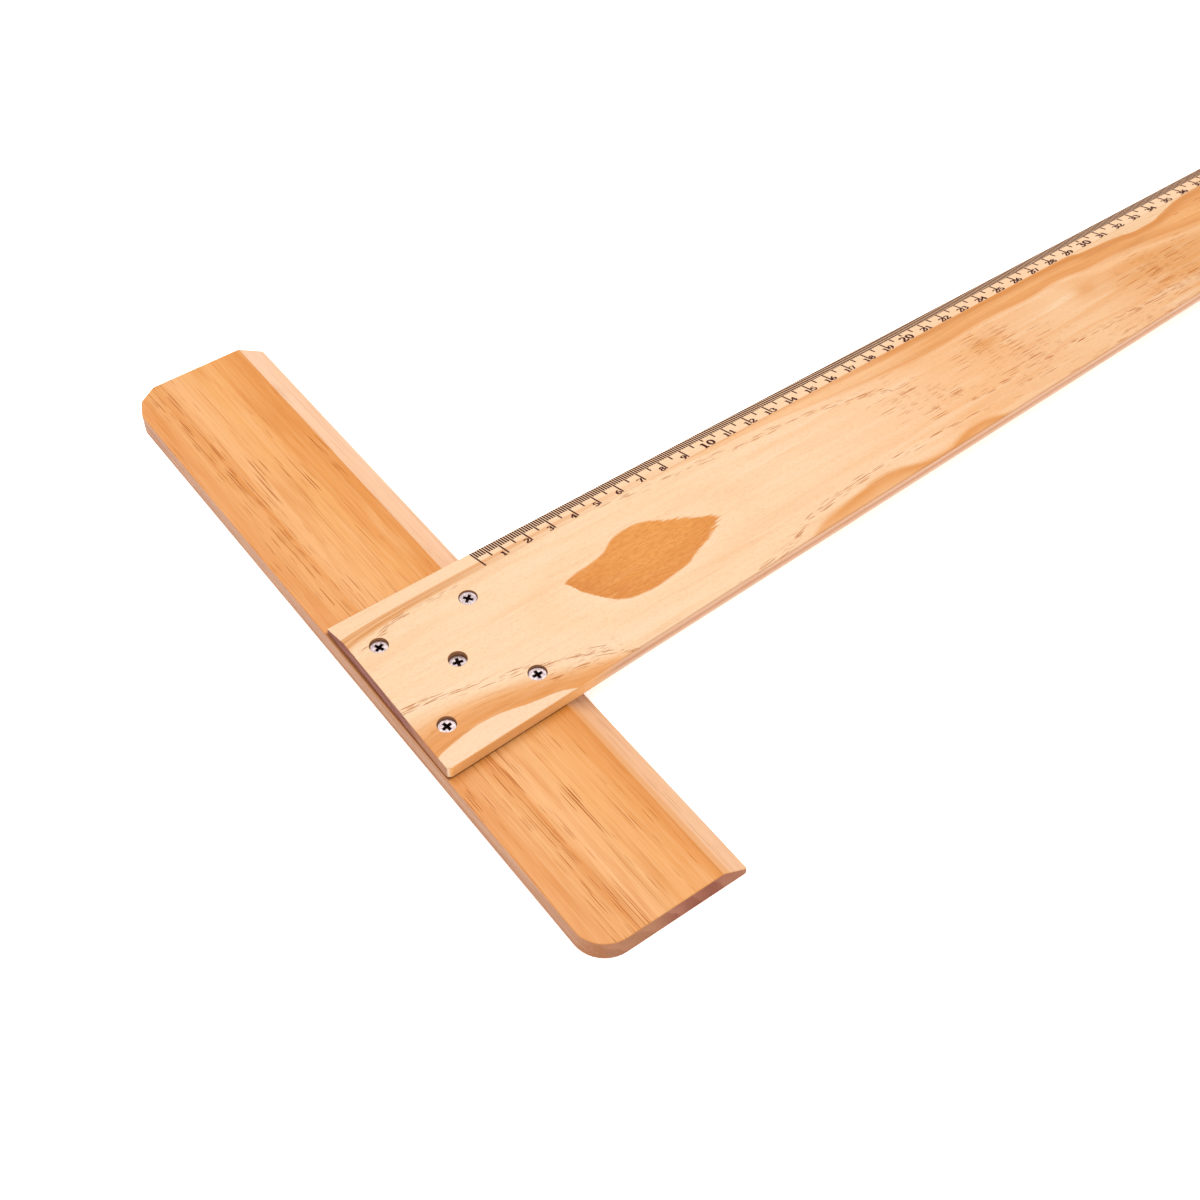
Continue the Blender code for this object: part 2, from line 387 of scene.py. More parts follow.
def blade_ground(g):
    """Ground colour: palest by the head, warmer further out, in long soft flames."""
    ground = [
        (BUTT, seen(254, 216, 176)), (60, seen(255, 219, 180)), (125, seen(254, 214, 173)),
        (165, seen(254, 210, 167)), (195, seen(253, 205, 160)), (235, seen(250, 193, 141)),
        (268, seen(248, 195, 147)), (300, seen(251, 203, 157)), (326, seen(246, 190, 140)),
        (352, seen(237, 175, 118)), (430, seen(246, 190, 138)), (520, seen(252, 206, 160)),
        (620, seen(244, 187, 134)), (TIP, seen(251, 201, 152)),
    ]
    colour = g.colour_bands(g.x + g.flames, ground)
    flow = g.noise((80, 5.5, 5.5), 2, 6.0, 0.5, (g.x, g.y + g.wander * 2, g.z))
    colour = g.mix(flow.ramp(0.52, 0.72, 0.0, 0.30), colour, seen(245, 189, 138))
    colour = g.mix(flow.ramp(0.48, 0.30, 0.0, 0.45), colour, seen(255, 223, 187))

    # Growth rings cut almost flat: wide pale flames with soft darker fronts, clearer further out.
    swell = g.noise((110, 20, 20), 1, 5.0)
    rings = (g.y * 0.07 + swell * 4.0 + g.wander * 0.04).fraction()
    fronts = rings.ramp(0.45, 0.95) * rings.ramp(1.0, 0.955)
    return g.mix(fronts * g.x.ramp(150, 420, 0.0, 0.55), colour, seen(237, 163, 98))


def add_island(g, colour):
    """One hard layer just grazed by the plane, crisp all round but at its far tip.

    Returns the colour, and the field that is 1 inside the island."""
    x, y, v = g.x, g.y, g.v
    torn = (g.noise((14, 0.7, 0.7), 3, 12.0) - 0.5) * x.ramp(84, 104, 1.2, 15.0)
    island_x = x + torn
    island_top = g.curve(island_x, [
        (45, -31), (46.7, -29.9), (52, -28.4), (59, -27.7), (65.6, -26.3), (70, -23.6), (74.4, -22),
        (81, -21.7), (86.7, -23.1), (92.2, -26.6), (98, -29.3), (103.5, -32.2), (109, -36.2), (112, -37.5),
    ])
    island_low = g.curve(island_x, [
        (45, -30), (46.7, -30.5), (47.8, -32.6), (49.4, -36.8), (52.2, -40.8), (55, -44.5), (57.8, -47),
        (62.2, -49), (70, -49.9), (79, -49.1), (86.7, -47.8), (91, -45.8), (98, -43.3), (104.4, -40.2),
        (109, -37.4), (112, -36.5),
    ])
    inside = (island_top - v).ramp(-0.6, 0.6) * (v - island_low).ramp(-0.6, 0.6)
    inside = inside * island_x.ramp(45.6, 47.0) * island_x.ramp(111, 107)
    depth_of_tone = (v - island_low).ramp(12, 0, 0.0, 0.5) + x.ramp(80, 50, 0.0, 0.5)
    island = g.mix(depth_of_tone, seen(239, 160, 84), seen(224, 141, 70))
    pale_fleck = g.noise((9, 0.8, 0.8), 3, 13.0, 0.6).ramp(0.45, 0.7, 0.0, 0.45)
    island = g.mix(pale_fleck, island, seen(247, 176, 103))
    halo = (distance((x - 78) / 44, (y + 36) / 20) + g.fray * 0.05 - 1.0).falloff(0.2)
    colour = g.mix(halo * 0.22, colour, seen(250, 199, 148))
    return g.mix(inside * 0.96, colour, island), inside


def add_arch(g, colour):
    """Arched latewood under the lower screws, deepest just above the pale corner.

    Returns the colour, and the field that is 1 in that corner."""
    x, v = g.x, g.v
    arch_crest = g.curve(x, [
        (BUTT, -46.5), (-16, -47.5), (-4, -50), (8, -53), (16, -55.6), (25, -58.4), (33, -61),
        (42, -63.8), (52, -67.6), (62, -71.5), (76, -78),
    ])
    arch_foot = g.curve(x, [
        (BUTT, -65.8), (-23, -64), (-15.6, -62.8), (-7.8, -62.3), (-1, -63.1), (6.7, -64.9), (12.2, -65.7),
        (17.8, -66.8), (22, -68.6), (30, -71.2), (42, -73), (52, -74.6), (62, -77.5), (76, -84),
    ])
    into_arch = (arch_crest - v) / (arch_crest - arch_foot)
    arch = into_arch.ramp(-0.04, 0.50) * into_arch.ramp(1.03, 0.99)
    rings = (into_arch * 2.6 + g.fray * 0.18).fraction()
    lines = rings.ramp(0.5, 0.92) * rings.ramp(1.0, 0.93) * into_arch.ramp(0.1, 0.5)
    shade = g.mix(into_arch.ramp(0.15, 0.85), seen(248, 188, 132), seen(235, 160, 95))
    streaks = g.noise((20, 1.3, 1.3), 3, 15.0, 0.6, (x, v - arch_foot * 0.65, g.z))
    colour = g.mix(arch * 0.95, colour, shade)
    colour = g.mix(lines * arch * 0.28, colour, seen(220, 146, 84))
    colour = g.mix(arch * streaks.ramp(0.50, 0.68, 0.0, 0.55), colour, seen(218, 143, 80))
    corner = into_arch.ramp(0.99, 1.04) * x.ramp(30, 22)
    return g.mix(corner * 0.9, colour, seen(254, 217, 181)), corner


def add_edge_latewood(g, colour):
    """Latewood that runs out over the drawing-edge bevel by the head."""
    x, y, fray = g.x, g.y, g.fray
    band_high = g.curve(x, [
        (BUTT, -5.8), (-17, -4.3), (-8, -3.7), (14, -3.2), (40, -3.0), (130, -4.5),
    ])
    band_low = g.curve(x, [
        (BUTT, -8.0), (-17, -6.1), (-8, -5.3), (6, -4.9), (40, -4.9), (70, -5.4), (130, -7.2),
    ])
    second_line = g.curve(x, [
        (BUTT, -10.3), (-19, -8.6), (-8, -7.4), (4, -6.6), (28, -6.3), (130, -7.3),
    ])
    frayed_y = y + fray * 0.25
    first_band = (band_high - frayed_y).ramp(-0.25, 0.4) * (frayed_y - band_low).ramp(-0.4, 0.3)
    between = (band_high - frayed_y).ramp(-0.2, 0.5) * (y - second_line).ramp(-0.6, 0.4)
    colour = g.mix(between * x.ramp(40, -8, 0.0, 0.85), colour, seen(244, 183, 128))
    colour = g.mix(first_band * x.ramp(150, 60, 0.0, 0.95), colour, seen(235, 172, 118))
    second_band = near_line(y + fray * 0.3, second_line, 0.9, 1.1)
    colour = g.mix(second_band * x.ramp(60, -6, 0.25, 0.95), colour, seen(230, 164, 106))
    strands = near_line(y + fray * 0.35, band_low, 0.3, 0.3)
    strands = strands.maximum(near_line(y, second_line + 0.5, 0.22, 0.25))
    return g.mix(strands * x.ramp(60, -14, 0.15, 0.65), colour, seen(200, 138, 90))


def add_long_layer(g, colour):
    """The long orange layer below the drawing edge, with a pale wave cut out of it."""
    x, v = g.x, g.v
    wave = g.curve(x, [
        (100, -6.9), (312, -7.2), (322, -8.8), (338, -10.1), (347, -11.2), (354, -12.3), (360, -12.3),
        (367, -11.2), (376, -9.3), (385, -7.9), (396, -7.2), (470, -7.0), (520, -9.5), (560, -13),
        (600, -9.6), (640, -7.4), (TIP, -7),
    ])
    under = g.curve(x, [
        (100, -8.4), (120, -9), (150, -10), (175, -12.3), (191, -14.2), (209, -15.7), (231, -16.8),
        (262, -15.5), (286, -16.4), (299, -15.2), (318, -17.3), (338, -18), (347, -19), (366, -21.8),
        (378, -23.4), (430, -27), (500, -22), (600, -24), (TIP, -20),
    ])
    into_band = (wave - v) / (wave - under)
    band_colour = g.colour_bands(into_band + g.fray * 0.06, [
        (-0.10, seen(238, 169, 108)), (0.03, seen(232, 160, 98)), (0.16, seen(234, 161, 99)),
        (0.38, seen(244, 178, 118)), (0.60, seen(247, 182, 121)), (0.90, seen(246, 181, 120)),
        (0.97, seen(234, 163, 104)), (1.02, seen(244, 180, 124)), (1.3, seen(250, 196, 146)),
    ])
    band = into_band.ramp(-0.05, 0.02) * into_band.ramp(1.25, 1.0)
    band = band * g.curve(x, [(88, 0.0), (150, 0.48), (200, 0.62), (226, 1.0), (TIP, 1.0)])
    colour = g.mix(band * 0.95, colour, band_colour)
    top_streak = near_line(v, wave - 1.3, 0.8, 2.2) * x.ramp(190, 240)
    colour = g.mix(top_streak * 0.75, colour, seen(220, 146, 84))
    low_streak = near_line(v, under + 1.2, 2.2, 0.8) * x.ramp(170, 215)
    colour = g.mix(low_streak * 0.6, colour, seen(226, 154, 94))
    streaks = g.noise((46, 1.2, 1.2), 3, 35.0, 0.6, (x, v - under * 0.7, g.z))
    colour = g.mix(band * streaks.ramp(0.50, 0.66, 0.0, 0.5), colour, seen(228, 156, 94))
    heart = into_band.ramp(0.25, 0.45) * into_band.ramp(0.98, 0.8)
    heart = heart * x.ramp(240, 206) * x.ramp(150, 175)
    colour = g.mix(heart * 0.65, colour, seen(253, 202, 152))
    above_wave = (v - wave).ramp(-0.1, 0.25) * x.ramp(296, 318) * x.ramp(400, 384)
    colour = g.mix(above_wave * 0.9, colour, seen(250, 210, 168))
    paler = near_line(v, under - x.ramp(300, 330, 2.2, 3.6), 1.4, 2.4) * x.ramp(300, 325)
    return g.mix(paler * 0.9, colour, seen(252, 200, 150))


def add_humps(g, colour):
    """Humps of latewood along the lower edge."""
    hump = g.curve(g.x, [
        (112, -74), (122, -68), (131, -64), (139, -60.7), (150, -58.9), (160, -57.4), (169, -56.2),
        (176, -56.8), (182, -58.5), (190, -60.4), (197, -60.8), (203, -59.6), (209, -58), (216, -57.1),
        (222, -57.6), (229, -59.6), (240, -61.6), (320, -64), (400, -50), (440, -46), (480, -47),
        (560, -60), (TIP, -60),
    ])
    below = hump - g.v
    band = below.ramp(-2.0, 1.0) * below.maximum(0.0).falloff(10.0) * g.x.ramp(108, 150, 0.3, 1.0)
    colour = g.mix(band * 0.88, colour, seen(239, 168, 103))
    line = near_line(g.v, hump - 1.0, 1.0, 1.9) * g.x.ramp(120, 160, 0.0, 0.6)
    return g.mix(line, colour, seen(226, 150, 86))


def add_burls(g, colour):
    """Two blurred burls near the middle, and darker, tighter grain and knots beyond them."""
    x, v = g.x, g.v
    frayed_x = x + g.fray * 3
    burls = spot(frayed_x, v, (251, -25.8), (10, 4.6)).maximum(spot(frayed_x, v, (308, -26.4), (8, 4.2)))
    colour = g.mix(burls * 0.8, colour, seen(233, 163, 100))
    tight = spot(x + g.flames * 0.35, v, (362, -38), (34, 15))
    colour = g.mix(tight * 0.6, colour, seen(233, 168, 108))
    knots = spot(x, v, (330, -12.2), (14, 2.0)).maximum(spot(x, v, (346, -18), (14, 1.8)))
    return g.mix(knots * 0.6, colour, seen(220, 149, 90))


def add_blade_fibres(g, colour, inside):
    """Fine fibres and specks, with a coarser mottle inside the island."""
    colour = g.mix(g.fibre.ramp(0.50, 0.72, 0.0, 0.20), colour, seen(214, 146, 92))
    pale_fibre = g.fibre.ramp(0.50, 0.30, 0.0, 0.20) * (1.0 - inside * 0.75)
    colour = g.mix(pale_fibre, colour, seen(255, 232, 200))
    speckle = g.noise((1.1, 0.55, 0.55), 2, 27.0)
    colour = g.mix(speckle.ramp(0.48, 0.70, 0.0, 0.16), colour, seen(220, 150, 92))
    mottle = g.noise((2.2, 0.6, 0.6), 3, 29.0, 0.6)
    return g.mix(inside * mottle.ramp(0.42, 0.66, 0.0, 0.5), colour, seen(212, 132, 66))


def blade_marks(g):
    """Dashes that gather in two rows and in clusters."""
    x, y, z = g.x, g.y, g.z
    lower_row = g.curve(x, [
        (BUTT, -42.8), (-16, -44.8), (-3, -48.4), (12, -51.8), (20, -54.4), (30, -57.5), (38, -61.5),
        (48, -67.5), (62, -72), (86, -68), (110, -64.4), (126, -60), (140, -55.8), (170, -52.4),
        (215, -52.2), (260, -57), (320, -56), (TIP, -50),
    ])
    upper_row = g.curve(x, [
        (BUTT, -14.6), (-20, -13.4), (-8, -9.4), (10, -8.3), (60, -8.6), (95, -9.5), (118, -11.6),
        (150, -13.8), (170, -15.6), (187, -19), (205, -24), (216, -32), (212, -42), (225, -46.4),
        (260, -47), (TIP, -40),
    ])
    low_crowd = near_line(y, lower_row, 1.3, 1.7) * x.ramp(230, 120, 0.45, 1.0)
    low_crowd = low_crowd.maximum(spot(x, y, (33, -60.5), (15, 4.5)))
    high_crowd = near_line(y, upper_row, 1.4, 1.1) * x.ramp(26, 8).maximum(x.ramp(70, 96))
    crowd = g.noise((60, 12, 12), 1, 31.0).ramp(0.5, 0.62) * x.ramp(340, 420)
    clusters = [
        ((203, -29), (16, 12)), ((216, -39), (18, 8)), ((252, -26), (22, 8)), ((262, -40), (28, 12)),
        ((255, -51), (16, 4)), ((306, -53), (18, 3.6)), ((345, -32), (30, 14)), ((335, -46), (25, 7)),
    ]
    for centre, reach in clusters:
        crowd = crowd.maximum(spot(x, y, centre, reach) * 0.9)
    low_marks = resin_dashes(g, x, y - lower_row * 0.7, z, seed=14.0,
                             length=9.5, width=0.34, crowd=low_crowd * 0.7)
    high_marks = resin_dashes(g, x, y - upper_row * 0.6, z, seed=18.0,
                              length=8.0, width=0.34, crowd=high_crowd * 0.6)
    straight = y + g.wander * 0.3
    open_marks = resin_dashes(g, x, straight, z, seed=24.0,
                              length=13.0, width=0.36, crowd=crowd * 0.42 + 0.01)
    any_crowd = crowd.maximum(low_crowd).maximum(high_crowd)
    hairs = resin_dashes(g, x, straight, z, seed=44.0,
                         length=5.0, width=0.28, crowd=any_crowd * 0.4)
    return low_marks.maximum(high_marks).maximum(open_marks).maximum(hairs * 0.7)


def add_blade_edges(g, colour):
    """The top darker along the lower arris beyond the head, and the bevel cut across paler layers."""
    from_lower_edge = g.y - (g.x * BLADE_TAPER + BLADE_LOWER_AT_ZERO)
    # The top is drawn darker in a strip along the lower arris beyond the head.
    lower_arris_darkening = from_lower_edge.ramp(1.0, 0.2) * g.x.ramp(30, 52)
    colour = g.mix(lower_arris_darkening * 0.6, colour, seen(204, 146, 108))
    from_arris = g.y - BLADE_ARRIS * MM
    on_bevel = from_arris.ramp(-0.15, 0.35) * g.normal_z.ramp(0.3, 0.8)
    colour = g.mix(on_bevel * g.x.ramp(0, 150, 0.04, 0.8), colour, seen(254, 212, 172))
    arris_line = from_arris.falloff(0.30) * g.normal_z.ramp(0.6, 0.9)
    return g.mix(arris_line * 0.3, colour, seen(226, 160, 104))


def add_blade_sides(g, colour):
    """Narrow faces, cut ends and the walls of the screw holes."""
    past_head = g.x.ramp(26, 44)
    height = g.z - BLADE_LOW.z * MM
    flank = g.mix(past_head, srgb(228, 167, 103), seen_upright(238, 192, 160))
    # Painted shade: a dark band on the upper part of the flank beyond the head.
    flank_shade_band = (height - 2.8 + g.fray * 0.5).falloff(1.0) * past_head
    flank = g.mix(flank_shade_band * 0.65, flank, seen_upright(192, 126, 94))
    # Painted light: the foot of the flank beyond the head is paler and pinker, as if lit by light thrown
    # up from the floor.
    floor_bounce_light = (height - 0.6 + g.fray * 0.4).ramp(1.0, 0.0) * past_head
    flank = g.mix(floor_bounce_light, flank, seen_upright(246, 216, 196))
    flank = g.mix(g.fibre.ramp(0.35, 0.65, 0.0, 0.25), flank, seen_upright(222, 158, 106))
    # Painted shadow: a dark line at the foot of the flank, where the blade lies on the head.
    contact_shadow = height.ramp(0.35, 0.15) * g.x.ramp(30, 26)
    flank = g.mix(contact_shadow * 0.5, flank, srgb(124, 66, 32))
    colour = g.mix(g.upright * 0.95, colour, flank)
    ends = end_grain(g, g.y, g.z, seed=4.0, pith=(-20.0, -38.0), spacing=4.6,
                     early=seen_upright(172, 122, 114), late=seen_upright(136, 88, 86))
    ends = g.mix(g.y.ramp(-42, -60, 0.0, 0.6), ends, seen_upright(206, 154, 120))
    # Painted shadow: a dark line along the foot of the cut end, where it meets the head.
    ends = g.mix(height.ramp(0.25, 0.05) * 0.5, ends, srgb(84, 42, 30))
    colour = g.mix(g.cut_end * 0.95, colour, ends)
    return g.mix(screw_hole_mask(g) * 0.9, colour, seen_upright(204, 148, 112))


def blade_material():
    """Pale flat-sawn pine with an orange island, arched latewood and resin dashes."""
    g = BladeGraph()
    colour, inside = add_island(g, blade_ground(g))
    colour, corner = add_arch(g, colour)
    for add_layer in (add_edge_latewood, add_long_layer, add_humps, add_burls):
        colour = add_layer(g, colour)
    colour = add_blade_fibres(g, colour, inside)
    marks = blade_marks(g) * ((1.0 - inside) * (1.0 - corner))
    colour = g.mix(marks * 0.9, colour, seen(190, 112, 62))
    colour = add_blade_sides(g, add_blade_edges(g, colour))
    pores = g.noise((0.5, 0.5, 0.5), 2, 71.0)
    relief = g.fibre * 0.7 + (1.0 - marks) * 0.3 + pores * 0.25
    return finish_wood(g, colour, relief, marks, roughness=(0.38, 0.52), coat_roughness=0.35)


# ----------------------------------------------------------------- the head's pine
class HeadGraph(Graph):
    """The head's node tree, with the fields that its layers share."""

    def __init__(self):
        super().__init__("head_pine", 0.42)
        x, y = self.x, self.y
        self.wander = (self.noise((10, 60, 10), 2, 2.0) - 0.5) * 3.0
        self.fray = (self.noise((0.7, 14, 0.7), 3, 8.0) - 0.5) * 1.2
        shift = self.curve(y, [(-150, -2.8), (-60, -2.2), (0, -0.6), (60, 0), (150, 0.2)])
        self.u = x + self.wander * 0.45 + self.fray * 0.5 + shift
        self.clouds = self.noise((5, 60, 5), 2, 4.0)
        self.fibre = fibres(self, y, x + self.wander * 0.4, self.z, 25.0)
        self.upright = self.normal_z.abs().ramp(0.5, 0.25)
        near_corner = (HEAD_LOW.x - HEAD_LOW.y) * MM
        near_end = (x - y - near_corner).ramp(-6, 6) * y.ramp(-120, -134)
        far_end = self.normal_y.abs().ramp(0.45, 0.95) * y.ramp(-10, 10)
        self.cut_end = self.upright * far_end.maximum(near_end)


def head_ground(g):
    """Bands across the bar, and slow changes along it in long streaks."""
    bands = [
        (-29.5, seen(240, 166, 105)), (-25.0, seen(239, 166, 105)), (-21.0, seen(245, 177, 115)),
        (-17.5, seen(241, 170, 107)), (-15.3, seen(237, 163, 100)), (-14.3, seen(248, 183, 123)),
        (-11.0, seen(252, 188, 130)), (-6.0, seen(248, 183, 122)), (0.0, seen(248, 181, 116)),
        (6.0, seen(245, 174, 108)), (11.0, seen(240, 165, 97)), (16.0, seen(234, 156, 88)),
        (19.0, seen(237, 160, 92)), (29.5, seen(240, 165, 98)),
    ]
    colour = g.colour_bands(g.u, bands)
    colour = g.mix(g.clouds.ramp(0.52, 0.74, 0.0, 0.5), colour, seen(253, 193, 136))
    return g.mix(g.clouds.ramp(0.48, 0.28, 0.0, 0.5), colour, seen(229, 150, 84))


def add_head_fibres(g, colour):
    """Hairlines, fibres and fine grain."""
    hairlines = g.noise((0.7, 90, 0.7), 2, 17.0).ramp(0.56, 0.68)
    hairlines = hairlines * g.noise((3, 40, 3), 1, 19.0).ramp(0.4, 0.65)
    colour = g.mix(hairlines * 0.45, colour, seen(206, 130, 70))
    colour = g.mix(g.fibre.ramp(0.50, 0.70, 0.0, 0.26), colour, seen(204, 126, 66))
    colour = g.mix(g.fibre.ramp(0.50, 0.32, 0.0, 0.18), colour, seen(255, 212, 160))
    grain = g.noise((0.55, 22, 0.55), 3, 29.0, 0.6)
    colour = g.mix(grain.ramp(0.50, 0.70, 0.0, 0.22), colour, seen(214, 134, 72))
    return g.mix(grain.ramp(0.50, 0.34, 0.0, 0.15), colour, seen(255, 205, 150))


def head_marks(g):
    """Dark dashes along the bar, most of them near its outer side."""
    crowd = (g.u + 17.0).falloff(4.5)
    crowd = crowd.maximum(g.noise((7, 34, 7), 1, 37.0).ramp(0.50, 0.68) * 0.6)
    slant = g.x + g.wander * 0.3 + g.y * 0.016
    dashes = resin_dashes(g, g.y, slant, g.z, seed=33.0,
                          length=17.0, width=0.38, crowd=crowd * 0.26 + 0.03)
    hairs = resin_dashes(g, g.y, slant, g.z, seed=53.0,
                         length=10.0, width=0.28, crowd=crowd * 0.2 + 0.05)
    long_hairs = resin_dashes(g, g.y, slant, g.z, seed=63.0,
                              length=36.0, width=0.32, crowd=crowd * 0.30 + 0.04)
    return dashes.maximum(hairs * 0.75).maximum(long_hairs * 0.85)


def add_head_bevel(g, colour, marks):
    """The bevel shows paler, pinker wood, with an orange band at its root towards the near end."""
    from_arris = g.x - HEAD_ARRIS * MM
    on_bevel = from_arris.ramp(-0.15, 0.25) * g.normal_z.ramp(0.3, 0.7)
    pink = g.mix(g.y.ramp(-60, 60), seen(244, 188, 143), seen(247, 196, 155))
    pink = g.mix(g.clouds.ramp(0.4, 0.7, 0.0, 0.6), pink, seen(251, 206, 169))
    streaks = g.noise((0.8, 34, 0.8), 2, 51.0).ramp(0.54, 0.68)
    pink = g.mix(streaks * 0.5, pink, seen(228, 166, 124))
    root_edge = g.curve(g.y, [(-150, 21.8), (-60, 21.2), (0, 19.4), (150, 18.6)])
    in_root = (root_edge - g.x - g.fray * 0.4).ramp(-0.5, 0.5)
    pink = g.mix(in_root * 0.8, pink, seen(238, 171, 112))
    pink = g.mix(marks * 0.6, pink, seen(198, 140, 104))
    colour = g.mix(on_bevel, colour, pink)
    arris_line = (from_arris + 0.4).falloff(0.5) * g.normal_z.ramp(0.6, 0.9)
    return g.mix(arris_line * 0.3, colour, seen(220, 145, 82))


def add_head_sides(g, colour):
    """Long narrow faces are pinker, and cut ends are mauve brown."""
    x, y = g.x, g.y
    flank = g.mix(g.fibre.ramp(0.35, 0.62), seen_upright(206, 152, 115), seen_upright(178, 122, 88))
    flank = g.mix(y.ramp(-120, -146, 0.0, 0.6), flank, seen_upright(176, 116, 82))
    colour = g.mix(g.upright * 0.95, colour, flank)
    ends = end_grain(g, x, g.z, seed=6.0, pith=(-46.0, -30.0), spacing=7.5,
                     early=seen_upright(194, 142, 124), late=seen_upright(162, 112, 100))
    ends = g.mix(x.ramp(0, 12, 0.0, 0.4) * x.ramp(22, 14), ends, seen_upright(150, 98, 88))
    ends = g.mix(x.ramp(15, 26, 0.0, 0.6), ends, seen_upright(192, 142, 120))
    ends = g.mix(x.ramp(2, -10, 0.0, 0.4), ends, seen_upright(204, 158, 122))
    colour = g.mix(g.cut_end * 0.95, colour, ends)
    return g.mix(screw_hole_mask(g) * 0.9, colour, seen_upright(204, 148, 112))


def add_joint_dust(g, colour):
    """Painted shadow darkens the head just below its top, where the blade lies on it."""
    from_lower_edge = g.y - g.x * BLADE_TAPER - BLADE_LOWER_AT_ZERO
    from_drawing_edge = g.y - BLADE_HIGH.y * MM
    under_blade = from_drawing_edge.ramp(0.5, -0.5) * from_lower_edge.ramp(-0.2, 0.3)
    # Painted shadow: the head's faces are darkened just below its top, under the blade.
    contact_shadow = (g.z - HEAD_HIGH.z * MM).ramp(-0.18, -0.04) * under_blade
    return g.mix(contact_shadow * 0.65, colour, srgb(112, 60, 34))


def head_material():
    """Straight-grained orange pine: bands, hairlines and dark dashes along the bar."""
    g = HeadGraph()
    colour = add_head_fibres(g, head_ground(g))
    marks = head_marks(g)
    colour = g.mix(marks * 0.85, colour, seen(176, 100, 60))
    colour = add_head_sides(g, add_head_bevel(g, colour, marks))
    colour = add_joint_dust(g, colour)
    relief = g.fibre * 0.7 + (1.0 - marks) * 0.4
    return finish_wood(g, colour, relief, marks, roughness=(0.36, 0.5), coat_roughness=0.32)


# How far each cross recess is turned, in degrees.
RECESS_TURNS = {
    "screw_upper_outer": 24,
    "screw_upper_inner": 38,
    "screw_middle": 75,
    "screw_lower_outer": 10,
    "screw_lower_inner": 86,
}


def screw_material(name):
    """Bright plating; the cross recess below the head's top is painted dark, partly as grease and partly
    as painted shade.
    """
    low, high = (Vector(c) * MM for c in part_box(name))
    g = Graph(name + "_plating", 0.34)
    g.shader.inputs["Metallic"].default_value = 1.0
    depth = high.z - g.z
    tarnish = g.noise((0.9, 0.9, 0.9), 3, high.x)
    plate = g.mix(tarnish.ramp(0.35, 0.65), srgb(190, 176, 176), srgb(156, 139, 139))
    dx, dy = g.x - (low.x + high.x) / 2, g.y - (low.y + high.y) / 2
    from_axis = distance(dx, dy)
    turn = math.radians(RECESS_TURNS[name])
    along = (dx * math.cos(turn) + dy * math.sin(turn)).abs()
    across = (dy * math.cos(turn) - dx * math.sin(turn)).abs()
    smear = (tarnish - 0.5) * 0.8
    arm_end = (along.maximum(across) + smear).ramp(2.0, 1.8)
    # The recess and its arms are painted near black: grease, plus painted shade where light does not reach
    # into the recess.
    arm_grease_and_shade = arm_end * (along.minimum(across) + smear).ramp(0.70, 0.48)
    recess_shade_and_grease = depth.ramp(0.02, 0.12) * from_axis.ramp(2.5, 2.1) * depth.ramp(1.9, 1.7)
    recess_shade_and_grease = recess_shade_and_grease.maximum(arm_grease_and_shade * depth.ramp(0.5, 0.3) * 0.8)
    colour = g.mix(recess_shade_and_grease * 0.96, plate, srgb(44, 20, 12))
    colour = g.mix(from_axis.ramp(2.72, 2.95) * 0.5, colour, srgb(120, 96, 92))
    scratches = g.noise((2.4, 0.06, 0.6), 2, high.y)
    rough = tarnish * 0.2 + scratches * 0.12 + recess_shade_and_grease * 0.35 + 0.16
    return g.finish(colour, tarnish * 0.5 + scratches * 0.5, 0.02, rough)


def ink_material():
    """Printing ink, near black with a brown cast, a little uneven where it soaks into the grain."""
    g = Graph("scale_ink", 0.6)
    soak = g.noise((1.5, 0.4, 0.4), 3, 2.0)
    colour = g.mix(soak.ramp(0.45, 0.75), srgb(54, 12, 14), srgb(72, 30, 28))
    g.shader.inputs["Specular IOR Level"].default_value = 0.05
    return g.finish(colour, soak, 0.01, soak.ramp(0.3, 0.7, 0.55, 0.75))


def assign(piece, material):
    """Give every material slot of a piece the same material."""
    slots = piece.data.materials
    if not slots:
        slots.append(material)
    for index in range(len(slots)):
        slots[index] = material


# ============================================================= printed scale
# The print lies on the bevel, as a skin of ink that stands INK proud of it and reaches SINK
# into it. Divisions and numerals are measured down the slope from the drawing edge.
INK = 0.00003
SINK = 0.00002
SCALE_CM = 70
TICK_WIDTH = 0.00062
TICK_START = 0.0004
TICK_END = {"mm": 0.0048, "half": 0.0076, "cm": 0.0111, "zero": 0.0114, "ten": 0.0067}
ZERO_FROM_WORKING_EDGE = 0.0008
DIGIT_BASE = 0.0114
DIGIT_HEIGHT = 0.0030
TEN_HEIGHT = 0.0040
ONE_DIGIT_GAP = TICK_WIDTH * 0.6
TWO_DIGIT_GAP = TICK_WIDTH * 0.35
# As parts of a numeral's height: the room that it takes, and half of the pen's width.
DIGIT_ADVANCE = 0.78
NIB_UPRIGHT = 0.098
NIB_LEVEL = 0.085
# Numerals are drawn in a box of this width and height, then made wider by the stretch.
DIGIT_BOX = (0.6, 1.0)
DIGIT_STRETCH = 1.3
ARC_POINTS = 9
SAME_POINT = 1e-6
# For the triangulation: keep only what lies inside the strokes, and merge points this close.
INSIDE_ONLY = 1
MERGE_REACH = 1e-5


